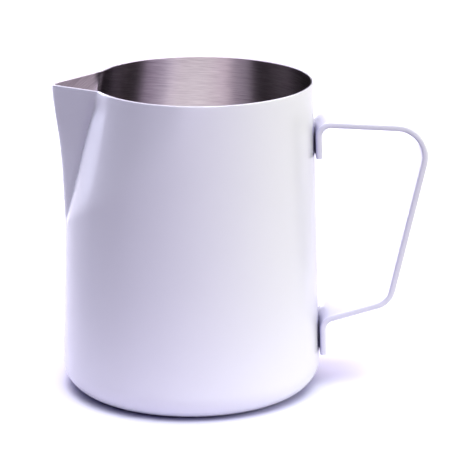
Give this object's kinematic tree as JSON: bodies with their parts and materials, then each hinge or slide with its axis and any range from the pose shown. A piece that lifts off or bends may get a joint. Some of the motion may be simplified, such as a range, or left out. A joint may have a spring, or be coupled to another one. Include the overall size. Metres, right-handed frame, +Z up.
{
  "type": "milk frothing pitcher",
  "caption": "Frothing pitcher: near-straight steel cup a little wider at its rounded base, with a sharp pressed pouring spout, a white coat outside and a flat strap handle.",
  "frame": {"origin": "centre of the base, on the table", "axes": "+Z up, +X from the cup towards the handle, -X towards the spout, symmetric about the XZ plane"},
  "size_m": [0.1303, 0.0914, 0.11],
  "materials": {
    "bare_steel": "fine brushing that runs round the cup",
    "white_coat": "smooth satin powder coat",
    "weld_steel": "dull resistance-weld metal"
  },
  "bodies": {
    "root": {"steel_body": "bare_steel", "outer_coat": "white_coat", "handle_strap": "white_coat", "upper_weld_nuggets": "weld_steel", "lower_weld_nuggets": "weld_steel"}
  },
  "joints": []
}
